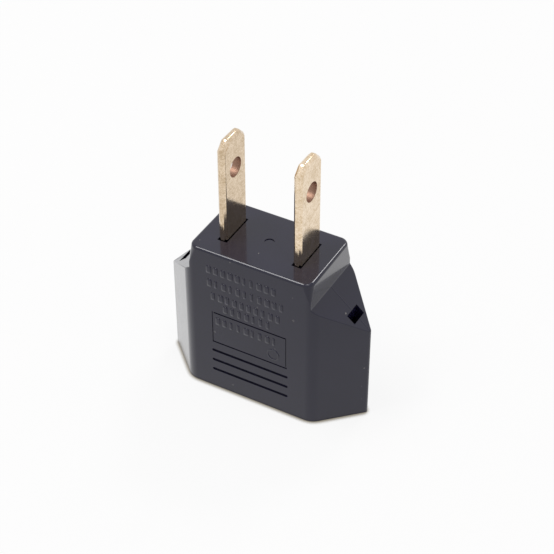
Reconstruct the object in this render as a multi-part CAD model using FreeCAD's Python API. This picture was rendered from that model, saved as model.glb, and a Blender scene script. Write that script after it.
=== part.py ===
"""Travel plug adapter: round pins go in below, two flat blades stand out above.

X runs along the body, Y from the front face to the back face, Z up.
The origin is the centre of the socket face, on which the adapter stands.
All sizes are in millimetres.
"""

import FreeCAD
import Part

import math
import os

Vec = FreeCAD.Vector
UP = Vec(0, 0, 1)

# Outer form of the housing
depth = 13.0            # front face to back face
height = 27.5           # socket face to blade face
front_flat = 21.8       # width of the front face between its sharp corners
corner_r = 3.0          # rounding of the four corners beside the front and back faces
end_r = 0.5             # rounding of the two pointed ends
slope_angle = 40.9      # slope of the end facets, degrees from level
slope_end = 17.0        # height at which a slope meets the pointed end
boss_length = 21.0      # raised top that carries the blades
boss_corner_r = 1.5     # rounding of its corners at the blade face
corner_start = 0.3      # above the crease, where the rounding starts from nothing
corner_lean = 10.0      # degrees at which its arc leaves the flat sides
top_edge_r = 0.45       # rounding around the blade face
slope_edge_r = 0.2      # rounding along the outer edges of the slopes
crease_r = 0.3          # rounding between a slope and the raised top
rim_bevel = 0.2         # bevel of the lower rim
least_r = 0.6           # least rounding of the corners of the hollow and the cover

# Walls of the housing
wall = 1.5
top_wall = 1.9
partition_t = 1.2       # wall between the two live sides
rib_t = 1.0             # guide ribs beside the blades
rib_reach = 1.5         # how far a rib stands out of the wall
rib_length = 11.5       # how far a rib hangs down from the top wall

# Marks on the front face
groove_length = 13.5
groove_width = 0.5
groove_depth = 0.22
groove_pitch = 2.0
groove_count = 3
groove_first_z = 3.9
frame_length = 13.2
frame_height = 6.3
frame_line = 0.28
frame_depth = 0.12
frame_centre_z = 12.75
gate_r = 0.8            # sprue mark in the middle of the blade face
gate_depth = 0.12

# Flat blades
blade_pitch = 12.7
blade_t = 1.4
blade_w = 6.35
blade_reach = 17.6      # tip above the blade face
blade_corner = 1.5      # cut corners of the tip
blade_corner_r = 0.8    # and their rounding
blade_bevel = 0.4       # bevel around the tip
blade_edge_r = 0.2      # long edges
blade_hole_r = 1.6
blade_hole_z = 11.9     # hole centre above the blade face
slot_gap = 0.12         # play between a blade and its slot
blade_shoulder_w = 8.6
blade_shoulder_h = 2.4
blade_tail_w = 5.0
blade_tail_end = 19.6   # lower end of the tail

# Round pin entry and its spring sleeves
pin_pitch = 19.0
pin_hole_r = 2.55
pin_hole_lead = 0.5     # countersink of the entry
sleeve_r = 1.95
sleeve_t = 0.5
sleeve_h = 9.0
sleeve_slit = 70.0      # opening of the sleeve, degrees
sleeve_mouth = 0.35     # how far the lower end flares out
sleeve_mouth_h = 1.2
strap_w = 3.4           # strap that joins a sleeve to its blade
strap_pad_w = 4.4
pad_margin = 0.4        # pad below the rivet's head
strap_end = 23.2        # upper end of the strap
crank_h = 2.0           # bend that takes up any offset between sleeve and blade

# Rivets
rivet_r = 0.9
rivet_head_r = 1.4
rivet_head_h = 0.55
rivet_z = 21.5
rivet_gap = 0.03

# Socket cover
cover_t = 2.2
cover_gap = 0.08        # play between the cover and the housing
cover_bevel = 0.25
seat_gap = 0.05         # play where one piece rests on another
backing_t = 1.6         # wall behind each sleeve, which also holds up the blade
backing_w = 6.2
cradle_t = 0.9          # side walls beside each sleeve
cradle_h = 9.8
cradle_gap = 0.3        # room for a sleeve to open
sleeve_play = 0.1       # room around its flared mouth

# Snap latches at the two ends, each with a window in the slope above it
# From the middle outwards come the pin's sleeve, the arm, the window and the end wall,
# and they add up to half of the overall length of 34.9.
arm_clear = 0.85        # between a sleeve's flared mouth and the arm
window_end = 2.0        # from the window to the pointed end
window_l = 1.1
window_w = 3.1
ledge_z = 14.5          # ledge under the window, which the hook grips
arm_t = 1.1
arm_w = 2.6
arm_gap = 0.1
hook_reach = 0.8
hook_h = 1.7
hook_lip = 0.5          # upright face of the hook, below its lead
arm_lead = 0.3          # cut corner behind the hook
arm_room = 0.3          # room for an arm to bend inwards
hook_room = 0.8         # headroom over a hook

# How the solids are joined and cut
past = 1.0              # how far a cut runs past the face that it opens
bite = 0.2              # how far a rib or wall runs into what carries it
near = 0.01             # closeness at which an edge counts as lying on a face

# Worked out from the sizes above
half_depth = depth / 2
half_flat = front_flat / 2
blade_x = blade_pitch / 2
pin_x = pin_pitch / 2
arm_x = pin_x + sleeve_r + sleeve_t + sleeve_mouth + arm_clear
window_x = arm_x + arm_t + arm_gap
half_length = window_x + window_l + window_end
blade_face = blade_x + blade_t / 2
shoulder_top = height - top_wall - seat_gap
sleeve_back = pin_x - sleeve_r - sleeve_t
slope = math.tan(math.radians(slope_angle))


def end_wall_direction():
    """Angle of a slanted wall's outward normal, with the wall touching the rounded end."""
    dx = half_flat - (half_length - end_r)
    return math.atan2(half_depth, dx) - math.acos(end_r / math.hypot(dx, half_depth))


end_angle = end_wall_direction()
end_distance = half_flat * math.cos(end_angle) + half_depth * math.sin(end_angle)


def block(x0, x1, y0, y1, z0, z1):
    return Part.makeBox(x1 - x0, y1 - y0, z1 - z0, Vec(x0, y0, z0))


def prism(points, direction):
    face = Part.Face(Part.makePolygon([Vec(*p) for p in points] + [Vec(*points[0])]))
    return face.extrude(direction)


def upright_edges(shape, test):
    """Vertical edges of a prism whose place passes the test."""
    return [
        e for e in shape.Edges
        if e.BoundBox.XLength < near and e.BoundBox.YLength < near
        and test(e.Vertexes[0].Point)
    ]


def drawn_in(radius, inset):
    """Radius of an outer corner, or of the same corner on a form that lies an inset inside it."""
    return max(radius - inset, least_r) if inset else radius


def plan_prism(inset, top, bottom=0.0):
    """Six-sided plan of the body, drawn in by an inset, from one height to another."""
    y = half_depth - inset
    reach = end_distance - inset
    corner_x = (reach - y * math.sin(end_angle)) / math.cos(end_angle)
    tip_x = reach / math.cos(end_angle)
    plan = [(tip_x, 0), (corner_x, y), (-corner_x, y), (-tip_x, 0), (-corner_x, -y), (corner_x, -y)]
    solid = prism([(px, py, bottom) for px, py in plan], UP * (top - bottom))
    corners = upright_edges(solid, lambda p: abs(p.y) > near)
    solid = solid.makeFillet(drawn_in(corner_r, inset), corners)
    ends = upright_edges(solid, lambda p: abs(p.y) < near)
    return solid.makeFillet(drawn_in(end_r, inset), ends)


def slope_height(x, inset=0.0):
    """Height of the slope over a place x, or of a face that lies an inset below it."""
    return slope_end + (half_length - x) * slope - inset / math.cos(math.radians(slope_angle))


def end_cut(side, inset, top):
    """Everything above one slope and beyond one end of the raised top, to be cut away."""
    inner = boss_length / 2 - inset
    outer = half_length + wall
    points = [(inner, slope_height(inner, inset)), (outer, slope_height(outer, inset)),
              (outer, top + past), (inner, top + past)]
    return prism([(side * x, -depth, z) for x, z in points], Vec(0, 2 * depth, 0))


def body_form(inset, top, bottom=0.0):
    """The body with its raised top and its two slopes, or the hollow inside it."""
    body = plan_prism(inset, top, bottom)
    for side in (-1, 1):
        body = body.cut(end_cut(side, inset, top))
    return body


def corner_cut(side_x, side_y):
    """Cuts one upright corner of the raised top to a rounding that grows towards the blade face."""
    foot = Vec(side_x * boss_length / 2, side_y * half_depth, slope_height(boss_length / 2) + corner_start)
    rise = height + past - foot.z
    half_chord = boss_corner_r * rise / (height - foot.z) / math.sqrt(2)
    half_turn = math.radians(45 - corner_lean)
    arc_r = half_chord / math.sin(half_turn)
    inward = Vec(-side_x, -side_y, 0).normalize()
    across = Vec(side_x, -side_y, 0).normalize()
    centre = foot + UP * rise + inward * (half_chord + arc_r * math.cos(half_turn))

    def on_arc(degrees):
        turn = math.radians(degrees)
        return centre + across * (arc_r * math.sin(turn)) - inward * (arc_r * math.cos(turn))

    first, middle, last = on_arc(-45), on_arc(0), on_arc(45)
    beyond = centre - inward * (arc_r + 2 * past)
    edges = [Part.Arc(first, middle, last).toShape()]
    edges += [Part.LineSegment(last, beyond).toShape(), Part.LineSegment(beyond, first).toShape()]
    return Part.makeLoft([Part.Vertex(foot), Part.Wire(edges)], True, True)


def slope_edges(solid, crease):
    """Edges in the plane of a slope: its crease with the raised top, or its outer edges."""
    found = []
    for edge in solid.Edges:
        middle = edge.valueAt((edge.FirstParameter + edge.LastParameter) / 2)
        on_slope = abs(middle.z - slope_height(abs(middle.x))) < near
        at_crease = abs(middle.x) < boss_length / 2 + near
        if on_slope and at_crease == crease:
            found.append(edge)
    return found


def outer_body():
    body = body_form(0.0, height)
    body = body.makeFillet(crease_r, slope_edges(body, crease=True))
    body = body.makeFillet(slope_edge_r, slope_edges(body, crease=False))
    for side_x in (-1, 1):
        for side_y in (-1, 1):
            body = body.cut(corner_cut(side_x, side_y))
    crown = [e for e in body.Edges if e.BoundBox.ZMin > height - near]
    body = body.makeFillet(top_edge_r, crown)
    rim = [e for e in body.Edges if e.BoundBox.ZMax < near]
    return body.makeChamfer(rim_bevel, rim)


def mirror_pair(solid):
    """A solid on the right and the same one turned half round, on the left."""
    return [solid, solid.rotated(Vec(0, 0, 0), UP, 180)]


def front_grooves():
    """Three shallow grooves with round ends, low on the front face."""
    cuts = []
    for i in range(groove_count):
        z = groove_first_z + i * groove_pitch
        straight = (groove_length - groove_width) / 2
        bar = block(-straight, straight, -half_depth - past, -half_depth + groove_depth,
                    z - groove_width / 2, z + groove_width / 2)
        cuts.append(bar)
        for side in (-1, 1):
            cuts.append(Part.makeCylinder(groove_width / 2, groove_depth + past,
                                          Vec(side * straight, -half_depth - past, z), Vec(0, 1, 0)))
    return cuts


def front_frame():
    """A thin sunk line around a field on the front face."""
    x, z = frame_length / 2, frame_height / 2
    outer = block(-x, x, -half_depth - past, -half_depth + frame_depth,
                  frame_centre_z - z, frame_centre_z + z)
    inner = block(-x + frame_line, x - frame_line, -half_depth - 2 * past, -half_depth + past,
                  frame_centre_z - z + frame_line, frame_centre_z + z - frame_line)
    return outer.cut(inner)


def blade_slot():
    x, y = blade_t / 2 + slot_gap, blade_w / 2 + slot_gap
    return block(blade_x - x, blade_x + x, -y, y, height - top_wall - past, height + past)


def latch_pocket():
    """Room for the latch arm, and the window above its ledge."""
    y = arm_w / 2 + arm_gap
    channel = block(arm_x - arm_room, window_x, -y, y, -past, ledge_z + hook_h + hook_room)
    window = block(window_x - bite, window_x + window_l, -window_w / 2, window_w / 2, ledge_z, height)
    return channel.fuse(window)


def guide_ribs():
    """Four ribs that hold the two edges of a blade's shoulder."""
    ribs = []
    wall_y = half_depth - wall
    for inner in (blade_x - blade_t / 2 - seat_gap - rib_t, blade_face + seat_gap):
        for side in (-1, 1):
            y0, y1 = sorted((side * (wall_y - rib_reach), side * (wall_y + bite)))
            ribs.append(block(inner, inner + rib_t, y0, y1,
                              height - top_wall - rib_length, height - top_wall + bite))
    return ribs


def make_housing():
    body = outer_body()
    hollow = body_form(wall, height - top_wall, -past)
    partition = block(-partition_t / 2, partition_t / 2, -half_depth, half_depth,
                      cover_t + seat_gap, height)
    hollow = hollow.cut(partition)
    for rib in guide_ribs():
        for one in mirror_pair(rib):
            hollow = hollow.cut(one)
    body = body.cut(hollow)
    cuts = front_grooves() + [front_frame()]
    for cut in (blade_slot(), latch_pocket()):
        cuts += mirror_pair(cut)
    cuts.append(Part.makeCylinder(gate_r, gate_depth + past, Vec(0, 0, height - gate_depth), UP))
    for cut in cuts:
        body = body.cut(cut)
    return body.removeSplitter()


def make_blade():
    """Right-hand blade: tail, shoulder and contact end, stamped from one strip."""
    half, shoulder, tail = blade_w / 2, blade_shoulder_w / 2, blade_tail_w / 2
    tip, low = height + blade_reach, shoulder_top - blade_shoulder_h
    right = [(tail, blade_tail_end), (tail, low), (shoulder, low), (shoulder, shoulder_top),
             (half, shoulder_top), (half, tip - blade_corner), (half - blade_corner, tip)]
    outline = right + [(-y, z) for y, z in reversed(right)]
    x0 = blade_x - blade_t / 2
    blade = prism([(x0, y, z) for y, z in outline], Vec(blade_t, 0, 0))

    def across(edge):
        return abs(edge.Vertexes[0].X - edge.Vertexes[-1].X) > blade_t / 2

    corners = [e for e in blade.Edges if across(e) and e.Vertexes[0].Z > height + blade_reach / 2]
    blade = blade.makeFillet(blade_corner_r, corners)
    tip_start = tip - blade_corner - blade_corner_r
    rim = [e for e in blade.Edges if e.BoundBox.ZMin > tip_start and not across(e)]
    blade = blade.makeChamfer(blade_bevel, rim)
    long_edges = [
        e for e in blade.Edges
        if e.BoundBox.ZMax > height and e.BoundBox.ZMin < height and e.BoundBox.XLength < near
    ]
    blade = blade.makeFillet(blade_edge_r, long_edges)
    for radius, z in ((blade_hole_r, height + blade_hole_z), (rivet_r + rivet_gap, rivet_z)):
        start = Vec(blade_x - 1.5 * blade_t, 0, z)
        blade = blade.cut(Part.makeCylinder(radius, 3 * blade_t, start, Vec(1, 0, 0)))
    return blade


def make_contact():
    """Right-hand spring sleeve with the strap that is riveted to the blade."""
    low = cover_t + seat_gap
    top = low + sleeve_h
    mouth = low + sleeve_mouth_h
    profile = [(sleeve_r + sleeve_mouth, low), (sleeve_r + sleeve_mouth + sleeve_t, low),
               (sleeve_r + sleeve_t, mouth), (sleeve_r + sleeve_t, top), (sleeve_r, top), (sleeve_r, mouth)]
    section = Part.Face(Part.makePolygon([Vec(r, 0, z) for r, z in profile + profile[:1]]))
    section.rotate(Vec(0, 0, 0), UP, sleeve_slit / 2)
    sleeve = section.revolve(Vec(0, 0, 0), UP, 360 - sleeve_slit)
    sleeve.translate(Vec(pin_x, 0, 0))
    face = blade_face
    side_view = [(sleeve_back, mouth), (sleeve_back + sleeve_t, mouth), (sleeve_back + sleeve_t, top),
                 (face + sleeve_t, top + crank_h), (face + sleeve_t, strap_end),
                 (face, strap_end), (face, top + crank_h), (sleeve_back, top)]
    strap = prism([(x, -strap_w / 2, z) for x, z in side_view], Vec(0, strap_w, 0))
    bore = Part.makeCylinder(sleeve_r, sleeve_h + 2 * past, Vec(pin_x, 0, low - past), UP)
    pad = block(face, face + sleeve_t, -strap_pad_w / 2, strap_pad_w / 2,
                rivet_z - rivet_head_r - pad_margin, strap_end)
    contact = sleeve.fuse(strap.cut(bore)).fuse(pad)
    hole = Part.makeCylinder(rivet_r + rivet_gap, 3 * sleeve_t,
                             Vec(face - sleeve_t, 0, rivet_z), Vec(1, 0, 0))
    return contact.cut(hole).removeSplitter()


def make_rivet():
    """Right-hand rivet with a domed head on each side of the joint."""
    x0, x1 = blade_x - blade_t / 2, blade_face + sleeve_t
    shank = Part.makeCylinder(rivet_r, x1 - x0, Vec(x0, 0, rivet_z), Vec(1, 0, 0))
    dome_r = (rivet_head_r ** 2 + rivet_head_h ** 2) / (2 * rivet_head_h)
    rivet = shank
    for start, way in ((x1, 1), (x0, -1)):
        ball = Part.makeSphere(dome_r, Vec(start + way * (rivet_head_h - dome_r), 0, rivet_z))
        half = Part.makeCylinder(rivet_head_r + past, dome_r, Vec(start, 0, rivet_z), Vec(way, 0, 0))
        rivet = rivet.fuse(ball.common(half))
    return rivet.removeSplitter()


def latch_arm():
    """Right-hand arm whose hook grips the ledge under the window."""
    inner = arm_x
    outer = inner + arm_t
    grip = ledge_z + seat_gap
    top = grip + hook_h
    side_view = [(inner, 0), (outer, 0), (outer, grip), (outer + hook_reach, grip),
                 (outer + hook_reach, grip + hook_lip), (outer, top),
                 (inner + arm_lead, top), (inner, top - arm_lead)]
    return prism([(x, -arm_w / 2, z) for x, z in side_view], Vec(0, arm_w, 0))


def cradle():
    """Right-hand walls that back the sleeve and hold up the blade's tail."""
    outer = min(blade_face, sleeve_back) - seat_gap
    inner = outer - backing_t
    low = cover_t - bite
    backing = block(inner, outer, -backing_w / 2, backing_w / 2, low, blade_tail_end - seat_gap)
    clear = sleeve_r + sleeve_t + cradle_gap
    wall_end = pin_x + sleeve_r + sleeve_t
    solid = backing
    for side in (-1, 1):
        y0, y1 = sorted((side * clear, side * (clear + cradle_t)))
        solid = solid.fuse(block(inner, wall_end, y0, y1, low, cover_t + cradle_h))
    mouth_room = Part.makeCylinder(sleeve_r + sleeve_t + sleeve_mouth + sleeve_play,
                                   sleeve_mouth_h + sleeve_play, Vec(pin_x, 0, cover_t), UP)
    return solid.cut(mouth_room).common(plan_prism(wall + cover_gap, height))


def make_cover():
    plate = plan_prism(wall + cover_gap, cover_t)
    rim = [e for e in plate.Edges if e.BoundBox.ZMax < near]
    plate = plate.makeChamfer(cover_bevel, rim)
    for part in (cradle(), latch_arm()):
        for one in mirror_pair(part):
            plate = plate.fuse(one)
    hole = Part.makeCylinder(pin_hole_r, cover_t + 2 * past, Vec(pin_x, 0, -past), UP)
    lead = Part.makeCone(pin_hole_r + pin_hole_lead, pin_hole_r, pin_hole_lead, Vec(pin_x, 0, 0), UP)
    for one in mirror_pair(hole.fuse(lead)):
        plate = plate.cut(one)
    return plate.removeSplitter()


def main():
    os.makedirs("parts", exist_ok=True)
    nodes = {"housing": make_housing(), "socket_cover": make_cover()}
    for name, make in (("blade", make_blade), ("contact", make_contact), ("rivet", make_rivet)):
        right, left = mirror_pair(make())
        nodes[name + "_right"] = right
        nodes[name + "_left"] = left
    for name, shape in nodes.items():
        shape.exportStep(os.path.join("parts", name + ".step"))
        print(name, "solids", len(shape.Solids), "valid", shape.isValid(), "volume", round(shape.Volume, 2))


main()
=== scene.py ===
"""Looks of the travel plug adapter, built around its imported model.

X runs along the body, -Y is the grooved front face, Z is up. Lengths are in metres,
and MM turns a size in millimetres into metres.
"""

import math

import bmesh
import bpy
from mathutils import Matrix, Vector


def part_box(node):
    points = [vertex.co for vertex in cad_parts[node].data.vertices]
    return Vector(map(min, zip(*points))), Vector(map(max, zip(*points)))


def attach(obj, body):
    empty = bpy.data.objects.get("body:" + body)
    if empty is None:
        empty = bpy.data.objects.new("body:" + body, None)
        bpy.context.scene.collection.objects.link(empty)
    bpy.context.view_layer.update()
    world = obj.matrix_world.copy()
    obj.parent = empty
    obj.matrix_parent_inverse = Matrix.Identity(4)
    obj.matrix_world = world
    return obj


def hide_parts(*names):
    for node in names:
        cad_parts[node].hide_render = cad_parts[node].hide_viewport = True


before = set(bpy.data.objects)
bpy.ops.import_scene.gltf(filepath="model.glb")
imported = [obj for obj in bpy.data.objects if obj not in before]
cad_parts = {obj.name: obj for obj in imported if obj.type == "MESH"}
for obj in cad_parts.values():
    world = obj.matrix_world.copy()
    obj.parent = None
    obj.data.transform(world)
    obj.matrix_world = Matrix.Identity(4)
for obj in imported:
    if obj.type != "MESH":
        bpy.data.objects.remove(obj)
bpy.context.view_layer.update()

MM = 0.001

# The photograph's camera, fitted to the edges of the body and the blades
VIEW_AZIMUTH = 29.19
VIEW_ELEVATION = 39.85
VIEW_ROLL = -0.13
VIEW_DISTANCE = 243.9 * MM
VIEW_LENS = 103.5
SENSOR = 36.0
CLIP_START = 0.005
AIM_SIDE = 1.12 * MM
AIM_Z = 20.62 * MM

# Places read off the frame
FRONT_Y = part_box("housing")[0].y
BLADE_TIP_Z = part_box("blade_right")[1].z

# The holes of the blades, and how far past their walls the painted shade and reflection of the
# hole is looked for
HOLE_Z = BLADE_TIP_Z - 5.7 * MM
HOLE_R = 1.6 * MM
HOLE_MARGIN = 0.03 * MM

# The parting line: where it starts beside the raised top, half the width of its crest, and
# half its whole width
SLOPE_START_X = 10.55 * MM
PARTING_FLAT = 0.03 * MM
PARTING_EDGE = 0.1 * MM

# Plain raised bars on the front face: rows from x to x at a height z, in millimetres
BAR_ROWS = (
    (-7.0, 5.4, 24.1),
    (-6.9, 6.4, 21.5),
    (-6.3, 5.6, 19.0),
    (-4.2, 3.7, 17.1),
    (-5.6, 4.6, 14.2),
)
BAR_PITCH = 1.25 * MM
BAR_HEIGHT = 1.4 * MM
BAR_PROUD = 0.09 * MM
BAR_SHIFT = 0.1
BAR_NARROWEST, BAR_WIDEST = 0.3, 0.75
FIRST_SEED = 3

# Plain raised ring, its centre in millimetres
RING_CENTRE = (4.2, 11.6)
RING_RADIUS = 0.95 * MM
RING_LINE = 0.11 * MM
RING_TURNS, RING_SIDES = 40, 10

# Patterns, in cells per metre, with the size of a cell
FLOW_CELLS = 260.0      # flow marks, 3.8 mm
DUST_CELLS = 650.0      # at most one speck in 1.5 mm
HANDLING_CELLS = 420.0  # rubbed places, 2.4 mm
SKIN_CELLS = 1500.0     # waviness of the moulded skin, 0.7 mm
GRIT_CELLS = 5200.0     # sand-blasted skin, 0.2 mm: drawn coarser than real grit, so that it shows
CLOUD_CELLS = 300.0     # duller places on the cover, 3.3 mm
PATCH_CELLS = 600.0     # tumbled patches, 1.7 mm
SPECKLE_CELLS = 3200.0  # speckled grain, 0.3 mm
GRAIN_CELLS = 7500.0    # tumbling marks, 0.13 mm: drawn coarser than real ones, so that they show
DENT_CELLS = 2200.0     # small dents, 0.45 mm
ROLLING_CELLS = 6000.0  # rolling lines, 0.17 mm: drawn coarser than real ones, so that they show
TINT_CELLS = 400.0      # tint of the rolled brass, 2.5 mm
BOARD_CELLS = 12.0      # clouds of the board, 80 mm
ROLLING_STRETCH = 0.06  # share of the cells that is left along the rolling direction

# Light: the sky's strength for the object, its strength as it is seen, how far the board
# glows white where it is seen, and how far away the lamps stand
SKY_LIGHT = 0.45
SKY_SEEN = 1.0
FLOOR_GLOW = 0.87
LAMP_DISTANCE = 1.0

# The board's half width, and how far from the object its painted contact shadow reaches
FLOOR_REACH = 2.0
CONTACT_REACH = 0.95 * MM

# Edges that turn by more than this many degrees stay sharp
SHARP_ANGLE = 30

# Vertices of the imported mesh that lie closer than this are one
JOIN_DISTANCE = 0.001 * MM

# Colours, as sRGB hex values
BLACK_ABS = "131126"
BLACK_ABS_RUBBED = "1a182e"
COVER_ABS = "1e1e27"
DUST = "a8a39d"
BRASS_PALE = "f4e1c8"
BRASS_DULL = "c9b08b"
# The left blade's brass: the same brass painted darker, as painted shade
BRASS_PALE_SHADED = "e6d2b8"
BRASS_DULL_SHADED = "b69e7c"
BRASS_SPRING = "cfa45e"
BRASS_RIVET = "cbab72"
# Painted shade and reflection inside the blades' holes
PAINTED_HOLE_SHADE = "9c7c6a"
FLOOR_WHITE = "f7f6f5"
FLOOR_BRIGHT = "fbfafa"
FLOOR_SEEN = "fdfdfd"
# Painted contact shadow on the board, right beside the object
PAINTED_CONTACT_SHADOW = "9c9587"
SKY_WHITE = "fdfdff"


def linear(hex_colour):
    """An sRGB hex colour as the linear RGBA that shaders take."""
    channels = [int(hex_colour[i:i + 2], 16) / 255 for i in (0, 2, 4)]
    return [c / 12.92 if c <= 0.04045 else ((c + 0.055) / 1.055) ** 2.4 for c in channels] + [1.0]


def new_material(name):
    material = bpy.data.materials.new(name)
    material.use_nodes = True
    material.node_tree.nodes.clear()
    return material, material.node_tree


def add_node(tree, kind, settings=None, **sockets):
    """Adds a node with its settings.

    A socket is given by its name or, as i0 or i7, by its number. Its value is a number,
    a colour, or the output that feeds it.
    """
    node = tree.nodes.new(kind)
    for key, value in (settings or {}).items():
        setattr(node, key, value)
    for key, value in sockets.items():
        if key[0] == "i" and key[1:].isdigit():
            socket = node.inputs[int(key[1:])]
        else:
            socket = node.inputs[key.replace("_", " ")]
        if isinstance(value, bpy.types.NodeSocket):
            tree.links.new(value, socket)
        else:
            socket.default_value = value
    return node


def calc(tree, operation, *values):
    """The output of a math node."""
    sockets = {f"i{number}": value for number, value in enumerate(values)}
    return add_node(tree, "ShaderNodeMath", {"operation": operation}, **sockets).outputs[0]


def remap(tree, value, low=0.0, high=1.0, to_low=0.0, to_high=1.0):
    """The output of a node that takes the range from low to high onto another."""
    return add_node(tree, "ShaderNodeMapRange", Value=value, From_Min=low, From_Max=high,
                    To_Min=to_low, To_Max=to_high).outputs[0]


def noise(tree, place, cells, detail=2.0, roughness=0.5):
    """The output of a noise pattern with so many cells per metre."""
    return add_node(tree, "ShaderNodeTexNoise", Vector=place, Scale=cells, Detail=detail,
                    Roughness=roughness).outputs[0]


def blend(tree, share, first, second):
    """The output of a colour mix. A colour is an sRGB hex value or an output."""
    first, second = (linear(c) if isinstance(c, str) else c for c in (first, second))
    return add_node(tree, "ShaderNodeMix", {"data_type": "RGBA"}, Factor=share, i6=first,
                    i7=second).outputs[2]


def relief(tree, height, strength, distance, **under):
    """The output of a bump node. Its Normal may be the output of another one."""
    return add_node(tree, "ShaderNodeBump", Height=height, Strength=strength, Distance=distance,
                    **under).outputs[0]


def object_place(tree):
    return add_node(tree, "ShaderNodeTexCoord").outputs["Object"]


def axes_of(tree, vector):
    return add_node(tree, "ShaderNodeSeparateXYZ", Vector=vector).outputs


def finish_material(tree, shader):
    add_node(tree, "ShaderNodeOutputMaterial", Surface=shader.outputs[0])


def moulded_abs():
    """Black ABS, injection moulded in a polished tool: a deep black with a sharp gloss.

    It mirrors the pale surroundings and has faint flow marks, a little dust, and the thin
    parting line of the tool across the sloped ends.
    """
    material, tree = new_material("moulded black ABS")
    place = object_place(tree)
    axes = axes_of(tree, place)

    flow = noise(tree, place, FLOW_CELLS, detail=3.0, roughness=0.55)
    flow_colour = blend(tree, flow, BLACK_ABS, BLACK_ABS_RUBBED)

    # Dust: only a few of the cells hold a speck, and faces that look up hold more of it
    cells = add_node(tree, "ShaderNodeTexVoronoi", Vector=place, Scale=DUST_CELLS).outputs
    pick = add_node(tree, "ShaderNodeSeparateColor", Color=cells["Color"]).outputs[0]
    radius = remap(tree, pick, low=0.78, to_high=0.12)
    speck = calc(tree, "LESS_THAN", cells["Distance"], radius)
    normal = add_node(tree, "ShaderNodeNewGeometry").outputs["Normal"]
    faces_up = remap(tree, axes_of(tree, normal)[2], -0.2, 0.9, 0.1, 0.5)
    dust = calc(tree, "MULTIPLY", speck, faces_up)
    colour = blend(tree, dust, flow_colour, DUST)

    # Gloss that varies a little, as handling leaves it
    handling = noise(tree, place, HANDLING_CELLS, detail=4.0, roughness=0.6)
    gloss = remap(tree, handling, 0.3, 0.7, 0.13, 0.22)
    roughness = calc(tree, "ADD", gloss, dust)

    # Parting line: a duller ridge along the middle of the sloped and pointed ends
    ridge = remap(tree, calc(tree, "ABSOLUTE", axes[1]), PARTING_FLAT, PARTING_EDGE, 1.0, 0.0)
    on_slope = calc(tree, "GREATER_THAN", calc(tree, "ABSOLUTE", axes[0]), SLOPE_START_X)
    line = calc(tree, "MULTIPLY", ridge, on_slope)
    sheen = remap(tree, line, to_low=1.0, to_high=0.1)

    ripple = relief(tree, noise(tree, place, SKIN_CELLS), 0.05, 0.05 * MM)
    bump = relief(tree, line, 0.6, 0.04 * MM, Normal=ripple)
    shader = add_node(tree, "ShaderNodeBsdfPrincipled", Base_Color=colour, Roughness=roughness,
                      IOR=1.31, Normal=bump, Coat_Weight=sheen, Coat_IOR=1.3,
                      Coat_Roughness=0.05)
    finish_material(tree, shader)
    return material


def satin_abs():
    """Black ABS from a sand-blasted tool, as on the cover: a duller skin than the shell's."""
    material, tree = new_material("satin black ABS")
    place = object_place(tree)
    grit = noise(tree, place, GRIT_CELLS, detail=3.0)
    cloud = noise(tree, place, CLOUD_CELLS, detail=3.0)
    shader = add_node(tree, "ShaderNodeBsdfPrincipled", IOR=1.5,
                      Base_Color=blend(tree, cloud, COVER_ABS, BLACK_ABS_RUBBED),
                      Roughness=remap(tree, cloud, 0.3, 0.7, 0.38, 0.5),
                      Normal=relief(tree, grit, 0.25, 0.03 * MM))
    finish_material(tree, shader)
    return material


def tumbled_brass(name, pale, dull):
    """Brass strip, stamped and tumbled: pale gold, satin, with a speckled grain and duller
    patches. The sheared wall of each hole is rougher, and is coloured a darker, redder brass
    as painted shade and reflection inside the hole.
    """
    material, tree = new_material(name)
    place = object_place(tree)
    axes = axes_of(tree, place)
    patches = noise(tree, place, PATCH_CELLS, detail=6.0, roughness=0.8)
    speckle = noise(tree, place, SPECKLE_CELLS, roughness=0.7)
    worn = calc(tree, "ADD", patches, speckle)
    metal = blend(tree, remap(tree, worn, 0.78, 1.3), pale, dull)

    # Squared distance from the axis of the hole, which runs along X
    across = calc(tree, "MULTIPLY", axes[1], axes[1])
    height = calc(tree, "SUBTRACT", axes[2], HOLE_Z)
    distance = calc(tree, "ADD", across, calc(tree, "MULTIPLY", height, height))
    in_hole = calc(tree, "LESS_THAN", distance, (HOLE_R + HOLE_MARGIN) ** 2)
    # Painted shade and reflection: the wall of the hole is coloured a darker, redder brass
    colour = blend(tree, in_hole, metal, PAINTED_HOLE_SHADE)

    satin = remap(tree, patches, 0.3, 0.75, 0.1, 0.2)
    sheared = calc(tree, "MULTIPLY", in_hole, 0.35)
    roughness = calc(tree, "ADD", satin, sheared)
    grain = noise(tree, place, GRAIN_CELLS, detail=3.0, roughness=0.7)
    fine = relief(tree, grain, 0.15, 0.02 * MM)
    bump = relief(tree, noise(tree, place, DENT_CELLS), 0.12, 0.04 * MM, Normal=fine)
    shader = add_node(tree, "ShaderNodeBsdfPrincipled", Base_Color=colour, Metallic=1.0,
                      Roughness=roughness, Normal=bump)
    finish_material(tree, shader)
    return material


def rolled_brass(name, hex_colour, low, high):
    """Rolled or headed brass inside the body: bright, with fine lines along the rolling
    direction. Its roughness lies between low and high.
    """
    material, tree = new_material(name)
    place = object_place(tree)
    along = add_node(tree, "ShaderNodeMapping", Vector=place, Scale=(1.0, 1.0, ROLLING_STRETCH))
    lines = noise(tree, along.outputs[0], ROLLING_CELLS)
    tint = noise(tree, place, TINT_CELLS, detail=3.0)
    shader = add_node(tree, "ShaderNodeBsdfPrincipled", Metallic=1.0,
                      Base_Color=blend(tree, tint, hex_colour, BRASS_DULL),
                      Roughness=remap(tree, lines, 0.3, 0.7, low, high),
                      Normal=relief(tree, lines, 0.2, 0.01 * MM))
    finish_material(tree, shader)
    return material


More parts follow.
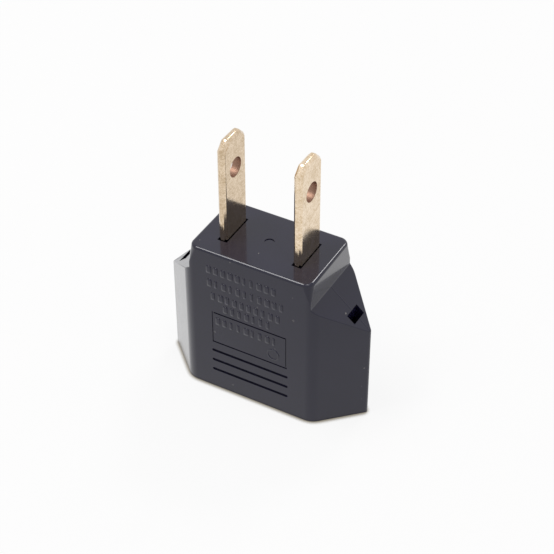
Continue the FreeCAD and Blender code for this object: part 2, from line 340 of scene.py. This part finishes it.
def seen_directly(tree):
    """1 for what the camera, a reflection or a clear piece sees, and 0 for light on a surface."""
    rays = add_node(tree, "ShaderNodeLightPath").outputs
    mirrored = calc(tree, "MAXIMUM", rays["Is Camera Ray"], rays["Is Glossy Ray"])
    return calc(tree, "MAXIMUM", mirrored, rays["Is Transmission Ray"])


def matt_floor():
    """Matt white board. It is seen almost white and keeps a faint shadow of the object."""
    material, tree = new_material("matt white board")
    cloud = noise(tree, object_place(tree), BOARD_CELLS)
    board = add_node(tree, "ShaderNodeBsdfDiffuse",
                     Color=blend(tree, cloud, FLOOR_WHITE, FLOOR_BRIGHT))

    # Painted shadow: the white the board is seen as turns darker right beside the object, where
    # little of the sky reaches it
    open_sky = add_node(tree, "ShaderNodeAmbientOcclusion", {"samples": 8},
                        Distance=CONTACT_REACH)
    clear = remap(tree, open_sky.outputs["AO"], 0.5, 0.85)
    white = add_node(tree, "ShaderNodeEmission", Strength=1.0,
                     Color=blend(tree, clear, PAINTED_CONTACT_SHADOW, FLOOR_SEEN))
    share = calc(tree, "MULTIPLY", seen_directly(tree), FLOOR_GLOW)
    shader = add_node(tree, "ShaderNodeMixShader", i0=share, i1=board.outputs[0],
                      i2=white.outputs[0])
    finish_material(tree, shader)
    return material


def new_object(name, mesh):
    piece = bpy.data.objects.new(name, mesh)
    bpy.context.scene.collection.objects.link(piece)
    return piece


def evaluated_mesh(piece):
    """The mesh that a piece's modifiers give, with the modifiers then removed."""
    bpy.context.view_layer.update()
    depsgraph = bpy.context.evaluated_depsgraph_get()
    mesh = bpy.data.meshes.new_from_object(piece.evaluated_get(depsgraph), depsgraph=depsgraph)
    piece.modifiers.clear()
    return mesh


def smooth_copy(node, name, material):
    """A node's own form with its loose triangles joined and its rounded edges shaded smooth."""
    shape = bmesh.new()
    shape.from_mesh(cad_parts[node].data)
    bmesh.ops.remove_doubles(shape, verts=shape.verts, dist=JOIN_DISTANCE)
    shape.verts.index_update()
    points = [corner.co.copy() for corner in shape.verts]
    faces = [[corner.index for corner in face.verts] for face in shape.faces]
    shape.free()

    # A new mesh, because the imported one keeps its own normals
    mesh = bpy.data.meshes.new(name)
    mesh.from_pydata(points, [], faces)
    mesh.shade_smooth()
    mesh.set_sharp_from_angle(angle=math.radians(SHARP_ANGLE))
    piece = new_object(name, mesh)
    weighted = piece.modifiers.new("face weights", "WEIGHTED_NORMAL")
    weighted.keep_sharp = True
    weighted.weight = 50
    piece.data = evaluated_mesh(piece)
    piece.data.materials.append(material)
    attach(piece, "root")
    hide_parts(node)
    return piece


def bar_row_tree(material):
    """Geometry nodes for one row of low upright bars, each with its own width."""
    tree = bpy.data.node_groups.new("raised bar row", "GeometryNodeTree")
    face = tree.interface
    face.new_socket("Geometry", in_out="INPUT", socket_type="NodeSocketGeometry")
    for name in ("Start X", "Row Z", "Length", "Pitch", "Bar Height", "Proud", "Face Y"):
        face.new_socket(name, in_out="INPUT", socket_type="NodeSocketFloat")
    face.new_socket("Seed", in_out="INPUT", socket_type="NodeSocketInt")
    face.new_socket("Geometry", in_out="OUTPUT", socket_type="NodeSocketGeometry")
    given = tree.nodes.new("NodeGroupInput").outputs

    # Points at even steps along the row, the whole row shifted a little by its seed
    count = calc(tree, "CEIL", calc(tree, "DIVIDE", given["Length"], given["Pitch"]))
    first = add_node(tree, "ShaderNodeCombineXYZ", X=given["Start X"], Y=given["Face Y"],
                     Z=given["Row Z"])
    step = add_node(tree, "ShaderNodeCombineXYZ", X=given["Pitch"])
    line = add_node(tree, "GeometryNodeMeshLine", Count=count, Start_Location=first.outputs[0],
                    Offset=step.outputs[0])
    shift = add_node(tree, "FunctionNodeRandomValue", {"data_type": "FLOAT"}, i2=-BAR_SHIFT,
                     i3=BAR_SHIFT, Seed=given["Seed"])
    offset = add_node(tree, "ShaderNodeCombineXYZ",
                      X=calc(tree, "MULTIPLY", shift.outputs[1], given["Pitch"]))
    placed = add_node(tree, "GeometryNodeSetPosition", Geometry=line.outputs[0],
                      Offset=offset.outputs[0])

    # A rounded bar on each point, half of it inside the wall
    thick = calc(tree, "MULTIPLY", given["Proud"], 2.0)
    size = add_node(tree, "ShaderNodeCombineXYZ", X=given["Pitch"], Y=thick,
                    Z=given["Bar Height"])
    bar = add_node(tree, "GeometryNodeMeshCube", Size=size.outputs[0])
    rounded = add_node(tree, "GeometryNodeSubdivisionSurface", Mesh=bar.outputs["Mesh"], Level=2,
                       Edge_Crease=0.45)
    index = add_node(tree, "GeometryNodeInputIndex")
    width = add_node(tree, "FunctionNodeRandomValue", {"data_type": "FLOAT"}, i2=BAR_NARROWEST,
                     i3=BAR_WIDEST, Seed=given["Seed"], ID=index.outputs[0])
    scale = add_node(tree, "ShaderNodeCombineXYZ", X=width.outputs[1], Y=1.0, Z=1.0)
    bars = add_node(tree, "GeometryNodeInstanceOnPoints", Points=placed.outputs[0],
                    Instance=rounded.outputs[0], Scale=scale.outputs[0])
    real = add_node(tree, "GeometryNodeRealizeInstances", Geometry=bars.outputs[0])
    painted = add_node(tree, "GeometryNodeSetMaterial", Geometry=real.outputs[0],
                       Material=material)
    smooth = add_node(tree, "GeometryNodeSetShadeSmooth", Geometry=painted.outputs[0])
    add_node(tree, "NodeGroupOutput", Geometry=smooth.outputs[0])
    return tree


def set_inputs(modifier, values):
    """Sets a modifier's named inputs through their socket identifiers."""
    for item in modifier.node_group.interface.items_tree:
        if item.in_out == "INPUT" and item.name in values:
            modifier[item.identifier] = values[item.name]


def front_mark(name, shape, material):
    """A piece of the scene's own on the front face, made of a bmesh."""
    mesh = bpy.data.meshes.new(name)
    shape.to_mesh(mesh)
    shape.free()
    mesh.materials.append(material)
    piece = new_object(name, mesh)
    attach(piece, "root")
    return piece


def raised_bars(material):
    """Rows of plain low bars across the front face."""
    tree = bar_row_tree(material)
    shape = bmesh.new()
    for seed, (start, end, z) in enumerate(BAR_ROWS, FIRST_SEED):
        row = new_object("bar row", bpy.data.meshes.new("bar row"))
        modifier = row.modifiers.new("bars", "NODES")
        modifier.node_group = tree
        set_inputs(modifier, {
            "Start X": start * MM, "Row Z": z * MM, "Length": (end - start) * MM,
            "Pitch": BAR_PITCH, "Bar Height": BAR_HEIGHT, "Proud": BAR_PROUD,
            "Face Y": FRONT_Y, "Seed": seed,
        })
        shape.from_mesh(evaluated_mesh(row))
        bpy.data.objects.remove(row)
    front_mark("front_bars", shape, material)


def raised_ring(material):
    """A plain low ring at one end of the sunk frame."""
    shape = bmesh.new()
    rings = []
    for i in range(RING_TURNS):
        turn = 2 * math.pi * i / RING_TURNS
        ring = []
        for j in range(RING_SIDES):
            tube = 2 * math.pi * j / RING_SIDES
            reach = RING_RADIUS + RING_LINE * math.cos(tube)
            ring.append(shape.verts.new((
                RING_CENTRE[0] * MM + reach * math.cos(turn),
                FRONT_Y + BAR_PROUD * math.sin(tube),
                RING_CENTRE[1] * MM + reach * math.sin(turn),
            )))
        rings.append(ring)
    for i in range(RING_TURNS):
        nearest, following = rings[i], rings[(i + 1) % RING_TURNS]
        for j in range(RING_SIDES):
            k = (j + 1) % RING_SIDES
            shape.faces.new((nearest[j], nearest[k], following[k], following[j]))
    bmesh.ops.recalc_face_normals(shape, faces=shape.faces)
    front_mark("front_ring", shape, material).data.shade_smooth()


def white_floor():
    corners = [(-FLOOR_REACH, -FLOOR_REACH, 0), (FLOOR_REACH, -FLOOR_REACH, 0),
               (FLOOR_REACH, FLOOR_REACH, 0), (-FLOOR_REACH, FLOOR_REACH, 0)]
    mesh = bpy.data.meshes.new("floor")
    mesh.from_pydata(corners, [], [(0, 1, 2, 3)])
    mesh.materials.append(matt_floor())
    new_object("floor", mesh)


def sky():
    world = bpy.data.worlds.new("white studio")
    bpy.context.scene.world = world
    world.use_nodes = True
    tree = world.node_tree
    tree.nodes.clear()
    strength = remap(tree, seen_directly(tree), to_low=SKY_LIGHT, to_high=SKY_SEEN)
    light = add_node(tree, "ShaderNodeBackground", Color=linear(SKY_WHITE), Strength=strength)
    add_node(tree, "ShaderNodeOutputWorld", Surface=light.outputs[0])


def outward(azimuth, elevation):
    """The direction from the object to a place around it. Azimuth 0 is in front, 90 at +X."""
    return Vector((math.sin(azimuth) * math.cos(elevation),
                   -math.cos(azimuth) * math.cos(elevation), math.sin(elevation)))


def place_object(name, data, place, right, top, back):
    """Adds a lamp or camera at a place. It looks the other way than back."""
    holder = bpy.data.objects.new(name, data)
    bpy.context.scene.collection.objects.link(holder)
    turned = Matrix((right, top, back)).transposed().to_4x4()
    turned.translation = place
    holder.matrix_world = turned
    return holder


def strip_lamp(name, azimuth, elevation, along, length, width, glow):
    """A soft strip a metre away, aimed at the object and long in the direction along.

    Its light is glow times as bright as white. The polished edges mirror it as a thin
    bright line.
    """
    lamp = bpy.data.lights.new(name, "AREA")
    lamp.shape = "RECTANGLE"
    lamp.size = width
    lamp.size_y = length
    lamp.energy = glow * math.pi * length * width
    out = outward(math.radians(azimuth), math.radians(elevation))
    upright = (Vector(along) - out * out.dot(Vector(along))).normalized()
    place_object(name, lamp, Vector((0, 0, AIM_Z)) + out * LAMP_DISTANCE, upright.cross(out),
                 upright, out)


def photograph_camera():
    azimuth, elevation, roll = map(math.radians, (VIEW_AZIMUTH, VIEW_ELEVATION, VIEW_ROLL))
    back = outward(azimuth, elevation)
    level = Vector((math.cos(azimuth), math.sin(azimuth), 0))
    up = back.cross(level)
    right = level * math.cos(roll) + up * math.sin(roll)
    top = up * math.cos(roll) - level * math.sin(roll)
    data = bpy.data.cameras.new("camera")
    data.lens = VIEW_LENS
    data.sensor_width = SENSOR
    data.clip_start = CLIP_START
    place = Vector((0, 0, AIM_Z)) + level * AIM_SIDE + back * VIEW_DISTANCE
    bpy.context.scene.camera = place_object("camera", data, place, right, top, back)


photograph_camera()
white_floor()
sky()

# The key and the rim make the bright lines along the front and right edges of the raised top.
# No lamp stands where a flat face would mirror it into the camera.
strip_lamp("key", azimuth=-62, elevation=66, along=(0, 1, 0), length=0.62, width=0.2, glow=10.0)
strip_lamp("rim", azimuth=179, elevation=48, along=(1, 0, 0), length=0.3, width=0.14, glow=13.0)
strip_lamp("overhead", azimuth=70, elevation=76, along=(1, 0, 0), length=0.25, width=0.25,
           glow=8.0)
bpy.context.scene.view_settings.view_transform = "Standard"

shell_finish = moulded_abs()
cover_finish = satin_abs()
blade_finishes = {
    # The left blade takes a darker copy of the same brass: painted shade
    "left": tumbled_brass("tumbled brass strip, painted shade", BRASS_PALE_SHADED, BRASS_DULL_SHADED),
    "right": tumbled_brass("tumbled brass strip", BRASS_PALE, BRASS_DULL),
}
spring_finish = rolled_brass("rolled spring brass", BRASS_SPRING, 0.18, 0.32)
rivet_finish = rolled_brass("headed brass wire", BRASS_RIVET, 0.22, 0.36)

smooth_copy("housing", "housing_shell", shell_finish)
smooth_copy("socket_cover", "cover_plate", cover_finish)
for side in ("left", "right"):
    smooth_copy("blade_" + side, "blade_strip_" + side, blade_finishes[side])
    smooth_copy("contact_" + side, "spring_sleeve_" + side, spring_finish)
    smooth_copy("rivet_" + side, "headed_rivet_" + side, rivet_finish)
raised_bars(shell_finish)
raised_ring(shell_finish)
